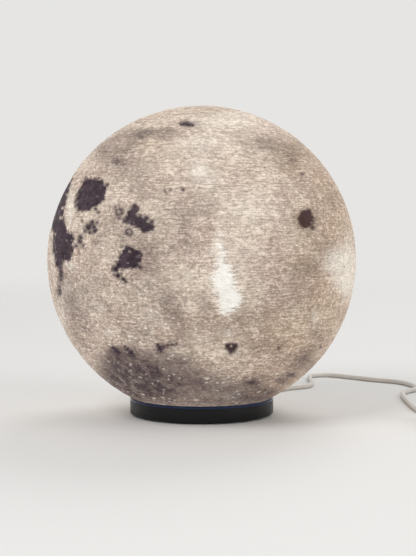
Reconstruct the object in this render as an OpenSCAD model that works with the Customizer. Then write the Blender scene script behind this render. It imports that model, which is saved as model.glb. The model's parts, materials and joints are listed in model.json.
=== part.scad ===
// Table lamp: a hollow globe of the Moon stands in a turning ring on a low round base.
// Its light is on a post inside the globe, and a thin lead leaves the base at the rear right.
// Lengths are in millimetres. The origin is the middle of the base's underside, +Z is up
// and -Y is the front.

/* [Globe] */
// Outer diameter of the globe
globe_d = 200; // [170:1:230]
// Wall of the printed shell
globe_wall = 2.4; // [1.6:0.1:4]
// Depth of the seas in the globe's surface
sea_depth = 0.5; // [0.2:0.1:1]
// Wall of the collar that slides over the turret
collar_wall = 2; // [1.2:0.1:3]
// Height of the collar
collar_h = 8; // [5:0.5:16]
// Width of the collar's flange in the globe's mouth
collar_flange_w = 1.6; // [1:0.1:3]

/* [Base] */
// Outer diameter of the housing and of the ring on it
base_d = 93.6; // [88:0.2:110]
// Height of the housing from its lower edge to its rim
housing_h = 8.7; // [8:0.1:14]
// Wall of the housing round its edge
housing_wall = 2.5; // [2:0.1:4]
// Bevel round the housing's lower edge
housing_bevel = 0.8; // [0.3:0.1:1.2]
// Floor of the recess under the globe
deck_t = 1; // [0.8:0.1:2]
// Depth of that recess below the rim
recess_depth = 1.8; // [1.6:0.1:2.4]
// Height of the turret above the recess
turret_h = 14; // [13:0.5:24]
// Wall of the turret
turret_wall = 2; // [1.6:0.1:3]
// Thickness of the steel base plate
plate_t = 1.6; // [1:0.1:2]
// Width of the ledge that the base plate rests against
plate_ledge = 0.8; // [0.4:0.1:1]
// Diameter of a rubber foot
foot_d = 10; // [6:0.5:12]
// Height of a rubber foot
foot_h = 1; // [0.6:0.1:3]
// Distance of the feet from the middle
foot_pitch_r = 33; // [24:0.5:36]

/* [Turning ring] */
// Height of the ring above the housing
ring_h = 1.8; // [1.4:0.1:4]
// Rounding of the ring's upper edge
ring_round = 0.8; // [0.4:0.1:1]
// Wall of the skirt that keeps the ring in the recess
skirt_wall = 1.8; // [1:0.1:2.4]
// Thickness of the glide ring under the skirt
glide_t = 0.5; // [0.3:0.1:1]

/* [Light] */
// Outer diameter of the lamp post
post_d = 10; // [8:0.5:12]
// Wall of the lamp post
post_wall = 1.2; // [0.8:0.1:2]
// Height of the lamp post above the turret
post_h = 36; // [25:1:60]
// Diameter of the post's flange
flange_d = 18; // [15:0.5:24]
// Thickness of the post's flange
flange_t = 1.5; // [1:0.1:3]
// Width of the nut across its flats
nut_w = 14; // [14:0.5:18]
// Thickness of the nut
nut_t = 3.5; // [2:0.1:4]
// Thickness of the washer
washer_t = 1; // [0.5:0.1:1.5]
// Diameter of the washer
washer_d = 17; // [16:0.5:20]
// Diameter of the heat sink
sink_d = 40; // [32:1:56]
// Thickness of the heat sink's disc
sink_t = 4; // [3:0.5:8]
// Diameter of the heat sink's hub
hub_d = 16; // [14:1:20]
// Length of the hub and the fins below the disc
hub_h = 10; // [6:1:20]
// Number of fins
fin_count = 12; // [6:1:20]
// Thickness of a fin
fin_t = 1.2; // [0.8:0.1:2]
// Diameter of the hole for the wires in the heat sink
wire_hole_d = 5.2; // [4.5:0.1:6]
// Diameter of the board that holds the light chips
led_board_d = 34; // [30:1:38]
// Thickness of that board
led_board_t = 1.2; // [0.8:0.1:2]
// Number of light chips
chip_count = 10; // [4:1:12]
// Width of a light chip
chip_w = 3.5; // [2:0.5:4]
// Height of a light chip
chip_h = 0.8; // [0.5:0.1:1.5]
// Distance of the light chips from the middle
chip_pitch_r = 12; // [11:0.5:13]
// Straight length of the diffuser
diffuser_h = 27; // [18:1:60]
// Wall of the diffuser
diffuser_wall = 1.2; // [0.8:0.1:2]

/* [Driver] */
// Diameter of the driver board
board_d = 62; // [56:1:66]
// Thickness of the driver board
board_t = 1.6; // [1:0.1:2]
// Height of the driver board's underside above the middle of the lead
board_rise = 2.8; // [2.5:0.1:3.5]
// Distance from the middle of the bosses that the board hangs from
board_boss_pitch_r = 26.5; // [22:0.5:27]
// Diameter of the larger capacitor
big_cap_d = 8; // [5:0.5:9]
// Height of the larger capacitor
big_cap_h = 9; // [5:0.5:9.5]
// Diameter of the smaller capacitor
small_cap_d = 6; // [4:0.5:8]
// Height of the smaller capacitor
small_cap_h = 7; // [5:0.5:9.5]
// Diameter of the inductor
coil_core_d = 10; // [6:0.5:12]
// Height of the inductor
coil_core_h = 6; // [4:0.5:9]
// Distance of the tall parts of the driver from the middle
parts_pitch_r = 19; // [17:0.5:21]
// Size of the driver chip
chip_size = [5, 6, 1.5];
// Size of the wire terminal along the lead and across it
terminal_size = [8, 9];
// Depth of the wire terminal below the middle of the lead
terminal_below = 1.7; // [1:0.1:2]

/* [Lead] */
// Diameter of the lead
cord_d = 3.4; // [2.6:0.1:3.6]
// Direction in which the lead leaves the base
gland_angle = 60; // [0:1:360]
// Diameter of the strain relief's neck in the wall
neck_d = 4.8; // [4.4:0.1:5.4]
// Length of the strain relief outside the wall
relief_l = 12; // [8:1:20]
// Diameter of the strain relief at the wall
relief_d = 6.8; // [5.8:0.1:7]
// Diameter of the strain relief at its tip
relief_tip_d = 4.6; // [4.4:0.1:5.6]
// Width and thickness of the strain relief's flange inside the wall
relief_flange = [8, 1.4];
// Length of lead inside the wall
cord_inside = 4; // [2:0.5:6]
// Diameter of a single wire
wire_d = 1; // [0.8:0.1:1.4]

/* [Switch] */
// Length of the switch case
switch_l = 58; // [50:1:70]
// Width of the switch case
switch_w = 18; // [17:0.5:24]
// Height of the switch case
switch_h = 12; // [11.5:0.5:16]
// Height of the joint between the two halves of the case
switch_split = 5; // [4.5:0.1:5.5]
// Wall of the switch case
switch_wall = 1.6; // [1.2:0.1:2]
// Corner radius of the switch case
switch_corner = 4; // [2:0.5:6]
// Width of the rocker
rocker_w = 8.4; // [6:0.1:9]
// Length of the rocker
rocker_l = 12.8; // [10:0.1:16]
// Angle between the rocker's two positions
rocker_swing = 18; // [10:1:24]
// Diameter of the rocker's pin
pin_d = 2.4; // [1.6:0.1:3]

/* [Plug] */
// Length of the plug's grip
plug_l = 18; // [14:0.5:26]
// Width of the plug's grip
plug_w = 15.5; // [14:0.5:18]
// Height of the plug's grip
plug_h = 8; // [7:0.5:10]
// Length of the plug's tapered tail
plug_tail_l = 8; // [5:0.5:14]
// Outside of the plug's metal shell: width, length and height
shell_size = [12, 18.75, 4.5];
// Sheet thickness of that shell
shell_t = 0.3; // [0.25:0.05:0.5]
// The tongue inside the shell: width, length and height
tongue_size = [11.1, 17.8, 1.84];

/* [Coil] */
// Radius of the coil at the middle of its turns
coil_r = 19; // [17:0.5:24]
// Number of turns side by side in the coil
coil_across = 3; // [3:1:4]
// Number of layers in the coil
coil_layers = 3; // [3:1:4]
// Thickness of the strap round the coil
tie_t = 0.6; // [0.4:0.1:1]
// Width of that strap
tie_w = 6; // [4:0.5:12]

/* [Clearances] */
// Gap between the globe and its seat in the ring
seat_gap = 0.3; // [0.1:0.05:0.5]
// Gap beside the ring's skirt
run_gap = 0.3; // [0.1:0.05:0.5]
// Gap between the ring and the housing's rim
rim_gap = 0.1; // [0.05:0.05:0.3]
// Gap between the collar and the turret
slide_gap = 0.4; // [0.2:0.05:0.8]
// Gap under the collar
collar_gap = 0.3; // [0.1:0.05:0.6]
// Gap from the skirt in to the globe's mouth
mouth_gap = 2.2; // [1.8:0.1:4]
// Gap round parts that are fitted into each other
fit_gap = 0.05; // [0.02:0.01:0.1]
// Gap round the rocker's body
rocker_gap = 0.3; // [0.2:0.05:0.6]

/* [Hidden] */
$fn = 72;

cut = 1; // how far a cutter runs past what it cuts
point_gap = 0.3; // room past the point of a screw

// Heights in the base, from the table up
cord_r = cord_d / 2;
rim_z = foot_h + housing_h;
deck_top = rim_z - recess_depth;
deck_bottom = deck_top - deck_t;
plate_top = foot_h + plate_t;
gland_z = deck_bottom - cord_r - 2 * fit_gap;
board_bottom = gland_z + board_rise;
board_top = board_bottom + board_t;
turret_top = deck_top + turret_h;
turret_ceiling = turret_top - turret_wall;
ring_top = rim_z + ring_h;
collar_foot = deck_top + collar_gap;

// Radii in the base, from the outside in
base_r = base_d / 2;
rim_in = base_r - housing_wall;
plate_r = rim_in + plate_ledge - fit_gap;
skirt_out = rim_in - run_gap;
skirt_in = skirt_out - skirt_wall;
mouth_r = skirt_in - mouth_gap;
collar_tube_r = mouth_r - collar_flange_w;
collar_in = collar_tube_r - collar_wall;
turret_r = collar_in - slide_gap;

// The base plate's screws and the bosses that they go into
plate_screw_r = 1.2;
plate_head_r = 2.4;
plate_head_h = 1.2;
plate_screw_l = deck_bottom - foot_h - 2 * point_gap;
plate_boss_r = 2.6;
plate_boss_pitch_r = rim_in - 2 * plate_boss_r;

// The globe stands on the ring's inner edge
globe_r = globe_d / 2;
globe_in = globe_r - globe_wall;
seat_r = base_r - ring_round;
globe_z = ring_top + sqrt(pow(globe_r + seat_gap, 2) - pow(seat_r, 2));
mouth_top = globe_z - sqrt(pow(globe_in, 2) - pow(mouth_r, 2));

// How the Moon is turned: about X, then Y, then Z
moon_turn = [1.8, -14.9, 156.7];
// Its seas: latitude, longitude and half their width, in degrees
seas = [
    [17, 59.1, 8], [13.3, 86.1, 5.5], [1.3, 87.5, 5.5], [-7.8, 51.3, 10.5],
    [56.8, 81.5, 4.5], [27.3, 147.9, 4.5], [-20.4, 129.1, 3], [-39.8, 93, 10],
    [-33.7, 163.5, 4.5], [28, 17.5, 10.5], [32.8, -15.6, 17], [8.5, 31.4, 12],
    [-15.2, 35.5, 5.5], [-21.3, -16.6, 9], [-24.4, -38.6, 6.5], [-19.4, -92.8, 5]
];

// The light, from the turret up
post_r = post_d / 2;
post_top = turret_top + post_h;
post_end = turret_ceiling - washer_t - nut_t - 2;
sink_r = sink_d / 2;
sink_top = post_top + sink_t;
diffuser_in = sink_r + fit_gap;
diffuser_r = diffuser_in + diffuser_wall;
led_board_top = sink_top + led_board_t;
led_screw_pitch_r = 6.2;
led_screw_r = 1;
led_head_r = 1.9;
led_head_h = 1.4;
led_screw_bite = 2.2; // how far these screws go into the heat sink
wire_pitch = 2.4;

// The driver
board_boss_r = 2.8;
board_screw_r = 1.1;
board_head_r = 2.1;
board_head_h = 1.4;
board_screw_bite = 4.5; // how far these screws go into their bosses
terminal_r = 24;
terminal_bottom = gland_z - terminal_below;
wire_end_gap = 0.5; // from the terminal's middle to the end of a supply wire

// The lead where it leaves the base
wire_r = wire_d / 2;
cord_sides = 8;
flange_face = sqrt(pow(rim_in, 2) - pow(relief_flange[0] / 2, 2)) - fit_gap;
cord_start = flange_face - cord_inside;
relief_tip = base_r + relief_l;
relief_ribs = 4;

// The switch: its middle on the table, and the height of what is inside
switch_at = [150, -55, 0];
switch_floor = 1.5;
switch_slope = 9;
switch_shoulder = switch_h * 0.7;
pivot_z = switch_h - 3.8;
rocker_top = 4.2;
rocker_keel = 1;
rocker_hole = [rocker_w + 2 * rocker_gap, rocker_l + 2.2];
cheek_t = 2;
cheek_w = 5;
cord_hold = 4;
switch_screw_at = [5, 21];
switch_post_r = 2.2;
switch_screw_r = 0.9;
switch_head_r = 1.6;
switch_head_h = 1.3;
switch_head_z = 0.2; // height of the screw heads above the case's underside
switch_screw_bite = 3.4; // how far these screws go into the upper half
contact_at = 5;
contact_t = 0.5;
switch_wire_x = 0.9;

// The coil beside the switch, and the plug that lies past it
tie_gap = 0.1;
coil_at = [186, -79, tie_t + tie_gap];
coil_w = coil_across * cord_d;
coil_h = coil_layers * cord_d;
coil_in = coil_r - coil_w / 2;
coil_out = coil_r + coil_w / 2;
coil_last_r = coil_out - cord_r;
plug_at = [coil_at[0] + coil_last_r, -44, plug_h / 2];
plug_front = plug_at[1] + plug_tail_l + plug_l;
// Height of the tongue's lower face, which bears the contacts
tongue_z = plug_at[2] + shell_size[2] / 2 - shell_t - fit_gap - tongue_size[2];

// The lead's route from the base to the switch, on the table where it is not held
gland = [cos(gland_angle), sin(gland_angle), 0];
lead_z = cord_r + fit_gap;
switch_back = switch_at[1] + switch_l / 2;
switch_front = switch_at[1] - switch_l / 2;
lead_route = concat(
    [for (r = [cord_start, base_r, relief_tip]) r * gland + [0, 0, gland_z]],
    [
        [33, 57.5, 4.7], [37.5, 66, 3.4], [42, 75, 2.2], [47, 84.5, lead_z],
        [52, 94.5, lead_z], [57.5, 104.5, lead_z], [64.5, 113.5, lead_z],
        [72.5, 119, lead_z], [79, 124.5, lead_z], [82.5, 134, lead_z],
        [83.5, 146, lead_z], [83.8, 157, lead_z], [84, 168, lead_z], [84, 177, lead_z],
        [85.4, 182.9, lead_z], [89.4, 187.5, lead_z], [94.8, 189.8, lead_z],
        [100.8, 189.4, lead_z], [106, 186.4, lead_z], [113.2, 179.4, lead_z],
        [122, 171, lead_z], [130, 163, lead_z], [138.5, 156, lead_z],
        [147, 149.5, lead_z], [153.5, 140.5, lead_z],
        [157, 129.5, lead_z], [158.5, 117, lead_z], [156.5, 105.5, lead_z],
        [150, 97, lead_z], [145, 88, lead_z], [143, 77, lead_z],
        [142, 65, lead_z], [141.5, 52, lead_z], [141.5, 38, lead_z],
        [141.5, 24, lead_z], [142, 10, lead_z], [143.5, -1, lead_z],
        [146, -10, 2.4], [148.5, -17.5, 3.8],
        [switch_at[0], switch_back, switch_split],
        [switch_at[0], switch_back - cord_hold, switch_split]
    ]
);
// From the switch round to the coil
switch_route = [
    [switch_at[0], switch_front + cord_hold, switch_split],
    [switch_at[0], switch_front, switch_split],
    [150.3, -88.5, 4.6], [151.6, -93, 3.8], [154.5, -97.3, 3], [159, -100.4, 2.5],
    [164.5, coil_at[1] - coil_last_r, 2.4], [171, coil_at[1] - coil_last_r, 2.4],
    [178.5, coil_at[1] - coil_last_r, 2.4]
];
// From the top of the coil down into the plug
plug_route = [
    [plug_at[0], -73, 9.2], [plug_at[0], -66, 8.4], [plug_at[0], -60, 6.5],
    [plug_at[0], -54.5, 4.7], [plug_at[0], -49, plug_at[2]], plug_at - [0, fit_gap, 0]
];

// Shapes that several pieces share

module tube(r_out, r_in, h) {
    difference() {
        cylinder(r = r_out, h = h);
        translate([0, 0, -cut]) cylinder(r = r_in, h = h + 2 * cut);
    }
}

module at_polar(r, angle) {
    rotate([0, 0, angle]) translate([r, 0, 0]) children();
}

// A block with upright rounded corners, in the middle of X and Y
module round_block(size, r) {
    translate([-size[0] / 2 + r, -size[1] / 2, 0]) cube([size[0] - 2 * r, size[1], size[2]]);
    translate([-size[0] / 2, -size[1] / 2 + r, 0]) cube([size[0], size[1] - 2 * r, size[2]]);
    for (x = [-1, 1], y = [-1, 1])
        translate([x * (size[0] / 2 - r), y * (size[1] / 2 - r), 0]) cylinder(r = r, h = size[2]);
}

// A screw with its head down at the origin and its point up
module screw(head_r, head_h, shank_r, length, countersunk) {
    difference() {
        union() {
            cylinder(r1 = head_r, r2 = countersunk ? shank_r : head_r, h = head_h);
            cylinder(r = shank_r, h = length);
        }
        translate([0, 0, -cut]) cylinder(r = shank_r * 0.8, h = head_h * 0.5 + cut, $fn = 6);
    }
}

function unit(v) = v / norm(v);
function heading(p, i) = unit(p[min(i + 1, len(p) - 1)] - p[max(i - 1, 0)]);
function side_of(t) = unit(cross(t, [0, 0, 1]));
function cord_ring(c, t) = [
    for (k = [0 : cord_sides - 1]) let (a = k * 360 / cord_sides)
        c + cord_r * (cos(a) * side_of(t) + sin(a) * cross(side_of(t), t))
];

// A round cord along the points of a route
module cord(p) {
    n = cord_sides;
    last = len(p) - 1;
    polyhedron(
        points = [for (i = [0 : last]) each cord_ring(p[i], heading(p, i))],
        faces = concat(
            [[for (k = [n - 1 : -1 : 0]) k]],
            [[for (k = [0 : n - 1]) last * n + k]],
            [
                for (i = [0 : last - 1], k = [0 : n - 1])
                    [i * n + k, i * n + (k + 1) % n, (i + 1) * n + (k + 1) % n, (i + 1) * n + k]
            ]
        )
    );
}

// The globe and the ring that it stands in

// The space of one sea: from its floor out through the globe's surface
module sea(latitude, longitude, half_width) {
    rotate([0, 90 - latitude, longitude]) difference() {
        cylinder(r = globe_r * sin(half_width), h = globe_r + cut);
        sphere(r = globe_r - sea_depth);
    }
}

module moon_globe() {
    color("#cfc0ad")
    translate([0, 0, globe_z]) difference() {
        sphere(r = globe_r, $fn = 180);
        sphere(r = globe_in, $fn = 180);
        translate([0, 0, -globe_r - cut]) cylinder(r = mouth_r, h = globe_r);
        rotate(moon_turn) for (s = seas) sea(s[0], s[1], s[2]);
    }
}

module globe_collar() {
    color("#1d1d20")
    translate([0, 0, collar_foot]) {
        tube(mouth_r, collar_in, mouth_top - collar_foot);
        tube(collar_tube_r, collar_in, collar_h);
    }
}

// Height of the globe's seat at a distance from the middle
function seat_z(r) = globe_z - sqrt(pow(globe_r + seat_gap, 2) - pow(r, 2));

module turn_ring() {
    seat_steps = 6;
    color("#101a3c")
    rotate_extrude() polygon(concat(
        [
            [skirt_in, deck_top + glide_t], [skirt_out, deck_top + glide_t],
            [skirt_out, rim_z + rim_gap], [base_r, rim_z + rim_gap]
        ],
        [
            for (a = [0 : 15 : 75])
                [seat_r + ring_round * cos(a), ring_top + ring_round * (sin(a) - 1)]
        ],
        [for (i = [0 : seat_steps]) let (r = seat_r + (skirt_in - seat_r) * i / seat_steps) [r, seat_z(r)]]
    ));
}

module glide_ring() {
    color("#e8e8e4")
    translate([0, 0, deck_top]) tube(skirt_out, skirt_in, glide_t);
}

// The base

module base_shell() {
    difference() {
        union() {
            rotate_extrude() polygon([
                [0, foot_h], [base_r - housing_bevel, foot_h],
                [base_r, foot_h + housing_bevel], [base_r, rim_z], [0, rim_z]
            ]);
            cylinder(r = turret_r, h = turret_top);
        }
        translate([0, 0, deck_top]) tube(rim_in, turret_r, recess_depth + cut);
        translate([0, 0, -cut]) cylinder(r = plate_r + fit_gap, h = plate_top + cut);
        translate([0, 0, -cut]) cylinder(r = rim_in, h = deck_bottom + cut);
        translate([0, 0, -cut]) cylinder(r = turret_r - turret_wall, h = turret_ceiling + cut);
    }
}

module base_housing() {
    color("#131315")
    difference() {
        union() {
            base_shell();
            for (a = [0 : 90 : 270]) at_polar(plate_boss_pitch_r, a)
                translate([0, 0, plate_top]) cylinder(r = plate_boss_r, h = deck_bottom - plate_top + deck_t / 2);
            for (a = [0 : 120 : 240]) at_polar(board_boss_pitch_r, a) translate([0, 0, board_top])
                cylinder(r = board_boss_r, h = turret_ceiling - board_top + turret_wall / 2);
        }
        for (a = [0 : 90 : 270]) at_polar(plate_boss_pitch_r, a)
            translate([0, 0, foot_h]) cylinder(r = plate_screw_r + fit_gap, h = plate_screw_l + point_gap);
        for (a = [0 : 120 : 240]) at_polar(board_boss_pitch_r, a)
            translate([0, 0, board_top - cut])
                cylinder(r = board_screw_r + fit_gap, h = board_screw_bite + point_gap + cut);
        translate([0, 0, turret_ceiling - cut]) cylinder(r = post_r + fit_gap, h = turret_wall + 2 * cut);
        rotate([0, 0, gland_angle]) translate([rim_in - cut, 0, gland_z])
            rotate([0, 90, 0]) cylinder(d = neck_d + 2 * fit_gap, h = housing_wall + 2 * cut);
    }
}

module base_plate() {
    color("#9a9da1")
    difference() {
        translate([0, 0, foot_h]) cylinder(r = plate_r, h = plate_t);
        for (a = [0 : 90 : 270]) at_polar(plate_boss_pitch_r, a) {
            cylinder(r = plate_screw_r + fit_gap, h = plate_top + cut);
            translate([0, 0, foot_h]) cylinder(
                r1 = plate_head_r + fit_gap, r2 = plate_screw_r + fit_gap, h = plate_head_h
            );
        }
    }
}

module plate_screws() {
    color("#b9bcc0")
    for (a = [0 : 90 : 270]) at_polar(plate_boss_pitch_r, a) translate([0, 0, foot_h])
        screw(plate_head_r, plate_head_h, plate_screw_r, plate_screw_l, true);
}

module rubber_feet() {
    color("#202020")
    for (a = [45 : 90 : 315]) at_polar(foot_pitch_r, a)
        rotate_extrude() polygon([
            [0, 0], [foot_d / 2 - foot_h / 4, 0], [foot_d / 2, foot_h / 2], [foot_d / 2, foot_h], [0, foot_h]
        ]);
}

// The light

module light_post() {
    color("#b4b7bb")
    difference() {
        union() {
            translate([0, 0, post_end]) cylinder(r = post_r, h = post_top - post_end);
            translate([0, 0, turret_top]) cylinder(d = flange_d, h = flange_t);
        }
        translate([0, 0, post_end - cut]) cylinder(r = post_r - post_wall, h = post_top - post_end + 2 * cut);
    }
}

module post_washer() {
    color("#c3c6ca")
    translate([0, 0, turret_ceiling - washer_t]) tube(washer_d / 2, post_r + fit_gap, washer_t);
}

module post_nut() {
    color("#c9a650")
    translate([0, 0, turret_ceiling - washer_t - nut_t]) difference() {
        cylinder(d = nut_w / cos(30), h = nut_t, $fn = 6);
        translate([0, 0, -cut]) cylinder(r = post_r + fit_gap, h = nut_t + 2 * cut);
    }
}

module heat_sink() {
    color("#a9adb3")
    difference() {
        union() {
            translate([0, 0, post_top]) cylinder(r = sink_r, h = sink_t);
            translate([0, 0, post_top - hub_h]) cylinder(d = hub_d, h = hub_h + sink_t / 2);
            for (i = [0 : fin_count - 1]) rotate([0, 0, i * 360 / fin_count])
                translate([hub_d / 2 - cut, -fin_t / 2, post_top - hub_h])
                    cube([sink_r - hub_d / 2, fin_t, hub_h + sink_t / 2]);
        }
        translate([0, 0, post_top - hub_h - cut]) cylinder(r = post_r + fit_gap, h = hub_h + cut);
        translate([0, 0, post_top - cut]) cylinder(d = wire_hole_d, h = sink_t + 2 * cut);
        for (a = [0, 180]) at_polar(led_screw_pitch_r, a + 90)
            translate([0, 0, sink_top - led_screw_bite - point_gap])
                cylinder(r = led_screw_r + fit_gap, h = led_screw_bite + point_gap + cut);
    }
}

module led_board() {
    color("#f2f2ee")
    difference() {
        translate([0, 0, sink_top]) cylinder(d = led_board_d, h = led_board_t);
        for (a = [0, 180]) at_polar(led_screw_pitch_r, a + 90)
            translate([0, 0, sink_top - cut]) cylinder(r = led_screw_r + fit_gap, h = led_board_t + 2 * cut);
    }
}

module led_chips() {
    color("#f4d35e")
    for (i = [0 : chip_count - 1]) at_polar(chip_pitch_r, i * 360 / chip_count)
        translate([-chip_w / 2, -chip_w / 2, led_board_top]) cube([chip_w, chip_w, chip_h]);
}

module led_board_screws() {
    color("#c3c6ca")
    for (a = [0, 180]) at_polar(led_screw_pitch_r, a + 90)
        translate([0, 0, led_board_top + led_head_h]) mirror([0, 0, 1])
            screw(led_head_r, led_head_h, led_screw_r, led_head_h + led_board_t + led_screw_bite, false);
}

module diffuser() {
    color("#fbf6ea", 0.6)
    translate([0, 0, post_top]) difference() {
        union() {
            cylinder(r = diffuser_r, h = diffuser_h);
            translate([0, 0, diffuser_h]) sphere(r = diffuser_r);
        }
        translate([0, 0, -diffuser_r]) cylinder(r = diffuser_in, h = diffuser_h + diffuser_r);
        translate([0, 0, diffuser_h]) sphere(r = diffuser_in);
    }
}

// The driver in the turret

module driver_board() {
    color("#1f6b3a")
    translate([0, 0, board_bottom]) difference() {
        cylinder(d = board_d, h = board_t);
        for (a = [0 : 120 : 240]) at_polar(board_boss_pitch_r, a)
            translate([0, 0, -cut]) cylinder(r = board_screw_r + fit_gap, h = board_t + 2 * cut);
    }
}

module driver_board_screws() {
    color("#c3c6ca")
    for (a = [0 : 120 : 240]) at_polar(board_boss_pitch_r, a)
        translate([0, 0, board_bottom - board_head_h])
            screw(board_head_r, board_head_h, board_screw_r, board_head_h + board_t + board_screw_bite, false);
}

module driver_capacitors() {
    color("#2b3a67") {
        at_polar(parts_pitch_r, 180) translate([0, 0, board_top]) cylinder(d = big_cap_d, h = big_cap_h);
        at_polar(parts_pitch_r, 215) translate([0, 0, board_top]) cylinder(d = small_cap_d, h = small_cap_h);
    }
}

module driver_inductor() {
    color("#8a5a2b")
    at_polar(parts_pitch_r, 300) translate([0, 0, board_top]) {
        cylinder(d = coil_core_d, h = 1);
        cylinder(d = coil_core_d - 2, h = coil_core_h);
        translate([0, 0, coil_core_h - 1]) cylinder(d = coil_core_d, h = 1);
    }
}

module driver_chip() {
    color("#222222")
    at_polar(parts_pitch_r, 60) translate([-chip_size[0] / 2, -chip_size[1] / 2, board_top]) cube(chip_size);
}

module wire_terminal() {
    color("#3aa05a")
    rotate([0, 0, gland_angle]) difference() {
        translate([terminal_r - terminal_size[0] / 2, -terminal_size[1] / 2, terminal_bottom])
            cube([terminal_size[0], terminal_size[1], board_bottom - terminal_bottom]);
        for (y = [-1, 1]) translate([terminal_r, y * wire_pitch / 2, gland_z])
            rotate([0, 90, 0]) cylinder(r = wire_r + fit_gap, h = terminal_size[0]);
    }
}

module supply_wires() {
    color("#b23b2e")
    rotate([0, 0, gland_angle]) for (y = [-1, 1])
        translate([terminal_r + wire_end_gap, y * wire_pitch / 2, gland_z])
            rotate([0, 90, 0]) cylinder(r = wire_r, h = cord_start - terminal_r - wire_end_gap);
}

module light_wire(x) {
    translate([x, 0, board_top]) cylinder(r = wire_r, h = sink_top - board_top);
}

module positive_wire() {
    color("#c4322a") light_wire(wire_pitch / 2);
}

module negative_wire() {
    color("#1b1b1b") light_wire(-wire_pitch / 2);
}

// The lead and what is on it

module strain_relief() {
    color("#d8d6d0")
    rotate([0, 0, gland_angle]) translate([0, 0, gland_z]) difference() {
        union() {
            translate([flange_face - relief_flange[1], -relief_flange[0] / 2, plate_top - gland_z + fit_gap])
                cube([relief_flange[1], relief_flange[0], deck_bottom - plate_top - 2 * fit_gap]);
            // The neck starts inside the hole in the wall, so it stays clear of the recess's floor
            translate([flange_face - cut / 2, 0, 0]) rotate([0, 90, 0])
                cylinder(d = neck_d, h = base_r + 1.5 * cut - flange_face);
            for (i = [0 : relief_ribs - 1]) translate([base_r + i * relief_l / relief_ribs, 0, 0]) rotate([0, 90, 0]) {
                d = relief_d + (relief_tip_d - relief_d) * i / (relief_ribs - 1);
                cylinder(d = d, h = relief_l / relief_ribs * 0.6);
                cylinder(d = relief_tip_d, h = relief_l / relief_ribs);
            }
        }
        translate([cord_start - cut, 0, 0]) rotate([0, 90, 0]) cylinder(r = cord_r + fit_gap, h = relief_tip - cord_start + 2 * cut);
    }
}

module lead_cord() {
    color("#e4e1da") cord(lead_route);
}

module switch_cord() {
    color("#e4e1da") cord(switch_route);
}

module plug_cord() {
    color("#e4e1da") cord(plug_route);
}

module cord_coil() {
    bevel = cord_d * 0.6;
    color("#dcd9d2")
    translate(coil_at) rotate_extrude() polygon([
        [coil_in + bevel, 0], [coil_out - bevel, 0], [coil_out, bevel], [coil_out, coil_h - bevel],
        [coil_out - bevel, coil_h], [coil_in + bevel, coil_h], [coil_in, coil_h - bevel], [coil_in, bevel]
    ]);
}

module coil_tie() {
    // Across the ring of turns its sides stand off by more, because the ring curves
    inside = [coil_w + 1, tie_w + 2 * cut, coil_h + 2 * tie_gap];
    color("#2a2a2c")
    translate([coil_at[0], coil_at[1], 0]) rotate([0, 0, 135]) translate([coil_r - 0.2, 0, 0]) difference() {
        translate([-inside[0] / 2 - tie_t, -tie_w / 2, 0]) cube([inside[0] + 2 * tie_t, tie_w, inside[2] + 2 * tie_t]);
        translate([-inside[0] / 2, -inside[1] / 2, tie_t]) cube(inside);
    }
}

// The side view of the switch case, its ends sloping down, as a block wider than the case
module switch_side() {
    rotate([90, 0, 90]) translate([0, 0, -switch_w]) linear_extrude(2 * switch_w) polygon([
        [-switch_l / 2 + 1, 0], [switch_l / 2 - 1, 0], [switch_l / 2, 1],
        [switch_l / 2, switch_shoulder], [switch_l / 2 - switch_slope, switch_h],
        [-switch_l / 2 + switch_slope, switch_h], [-switch_l / 2, switch_shoulder], [-switch_l / 2, 1]
    ]);
}

// The outside of the case between two heights
module switch_block(z0, z1) {
    intersection() {
        translate([0, 0, z0]) round_block([switch_w, switch_l, z1 - z0], switch_corner);
        switch_side();
    }
}

// The room inside the case between two heights
module switch_room(z0, z1) {
    room = [switch_w - 2 * switch_wall, switch_l - 4 * switch_wall, z1 - z0];
    intersection() {
        translate([0, 0, z0]) round_block(room, switch_corner - switch_wall);
        translate([0, 0, -switch_wall]) switch_side();
    }
}

module switch_cord_way() {
    translate([0, switch_l / 2 + cut, switch_split]) rotate([90, 0, 0])
        cylinder(r = cord_r + fit_gap, h = switch_l + 2 * cut);
}

module at_switch_screws() {
    for (s = [-1, 1]) translate([s * switch_screw_at[0], s * switch_screw_at[1], 0]) children();
}

module switch_case_bottom() {
    color("#dedbd4")
    translate(switch_at) difference() {
        union() {
            difference() {
                switch_block(0, switch_split);
                switch_room(switch_floor, switch_split + cut);
            }
            at_switch_screws() translate([0, 0, switch_floor / 2])
                cylinder(r = switch_post_r, h = switch_split - switch_floor / 2);
        }
        switch_cord_way();
        at_switch_screws() translate([0, 0, -cut]) {
            cylinder(r = switch_screw_r + fit_gap, h = switch_split + 2 * cut);
            cylinder(r = switch_head_r + fit_gap, h = switch_head_z + switch_head_h + cut);
        }
    }
}

module switch_case_top() {
    color("#e6e3dc")
    translate(switch_at) difference() {
        union() {
            difference() {
                switch_block(switch_split, switch_h);
                switch_room(switch_split - cut, switch_h - switch_wall);
                translate([-rocker_hole[0] / 2, -rocker_hole[1] / 2, 0]) cube([rocker_hole[0], rocker_hole[1], switch_h + cut]);
            }
            at_switch_screws() translate([0, 0, switch_split])
                cylinder(r = switch_post_r, h = switch_h - switch_split - switch_wall / 2);
            for (s = [-1, 1]) translate([s * (rocker_hole[0] + cheek_t) / 2 - cheek_t / 2, -cheek_w / 2, pivot_z - cheek_w / 2])
                cube([cheek_t, cheek_w, switch_h - switch_wall / 2 - pivot_z + cheek_w / 2]);
        }
        switch_cord_way();
        at_switch_screws() translate([0, 0, switch_split - cut])
            cylinder(r = switch_screw_r + fit_gap, h = switch_screw_bite + point_gap + cut);
        translate([-switch_w / 2 + switch_wall, 0, pivot_z]) rotate([0, 90, 0])
            cylinder(r = pin_d / 2 + fit_gap, h = switch_w - 2 * switch_wall);
    }
}

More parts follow.
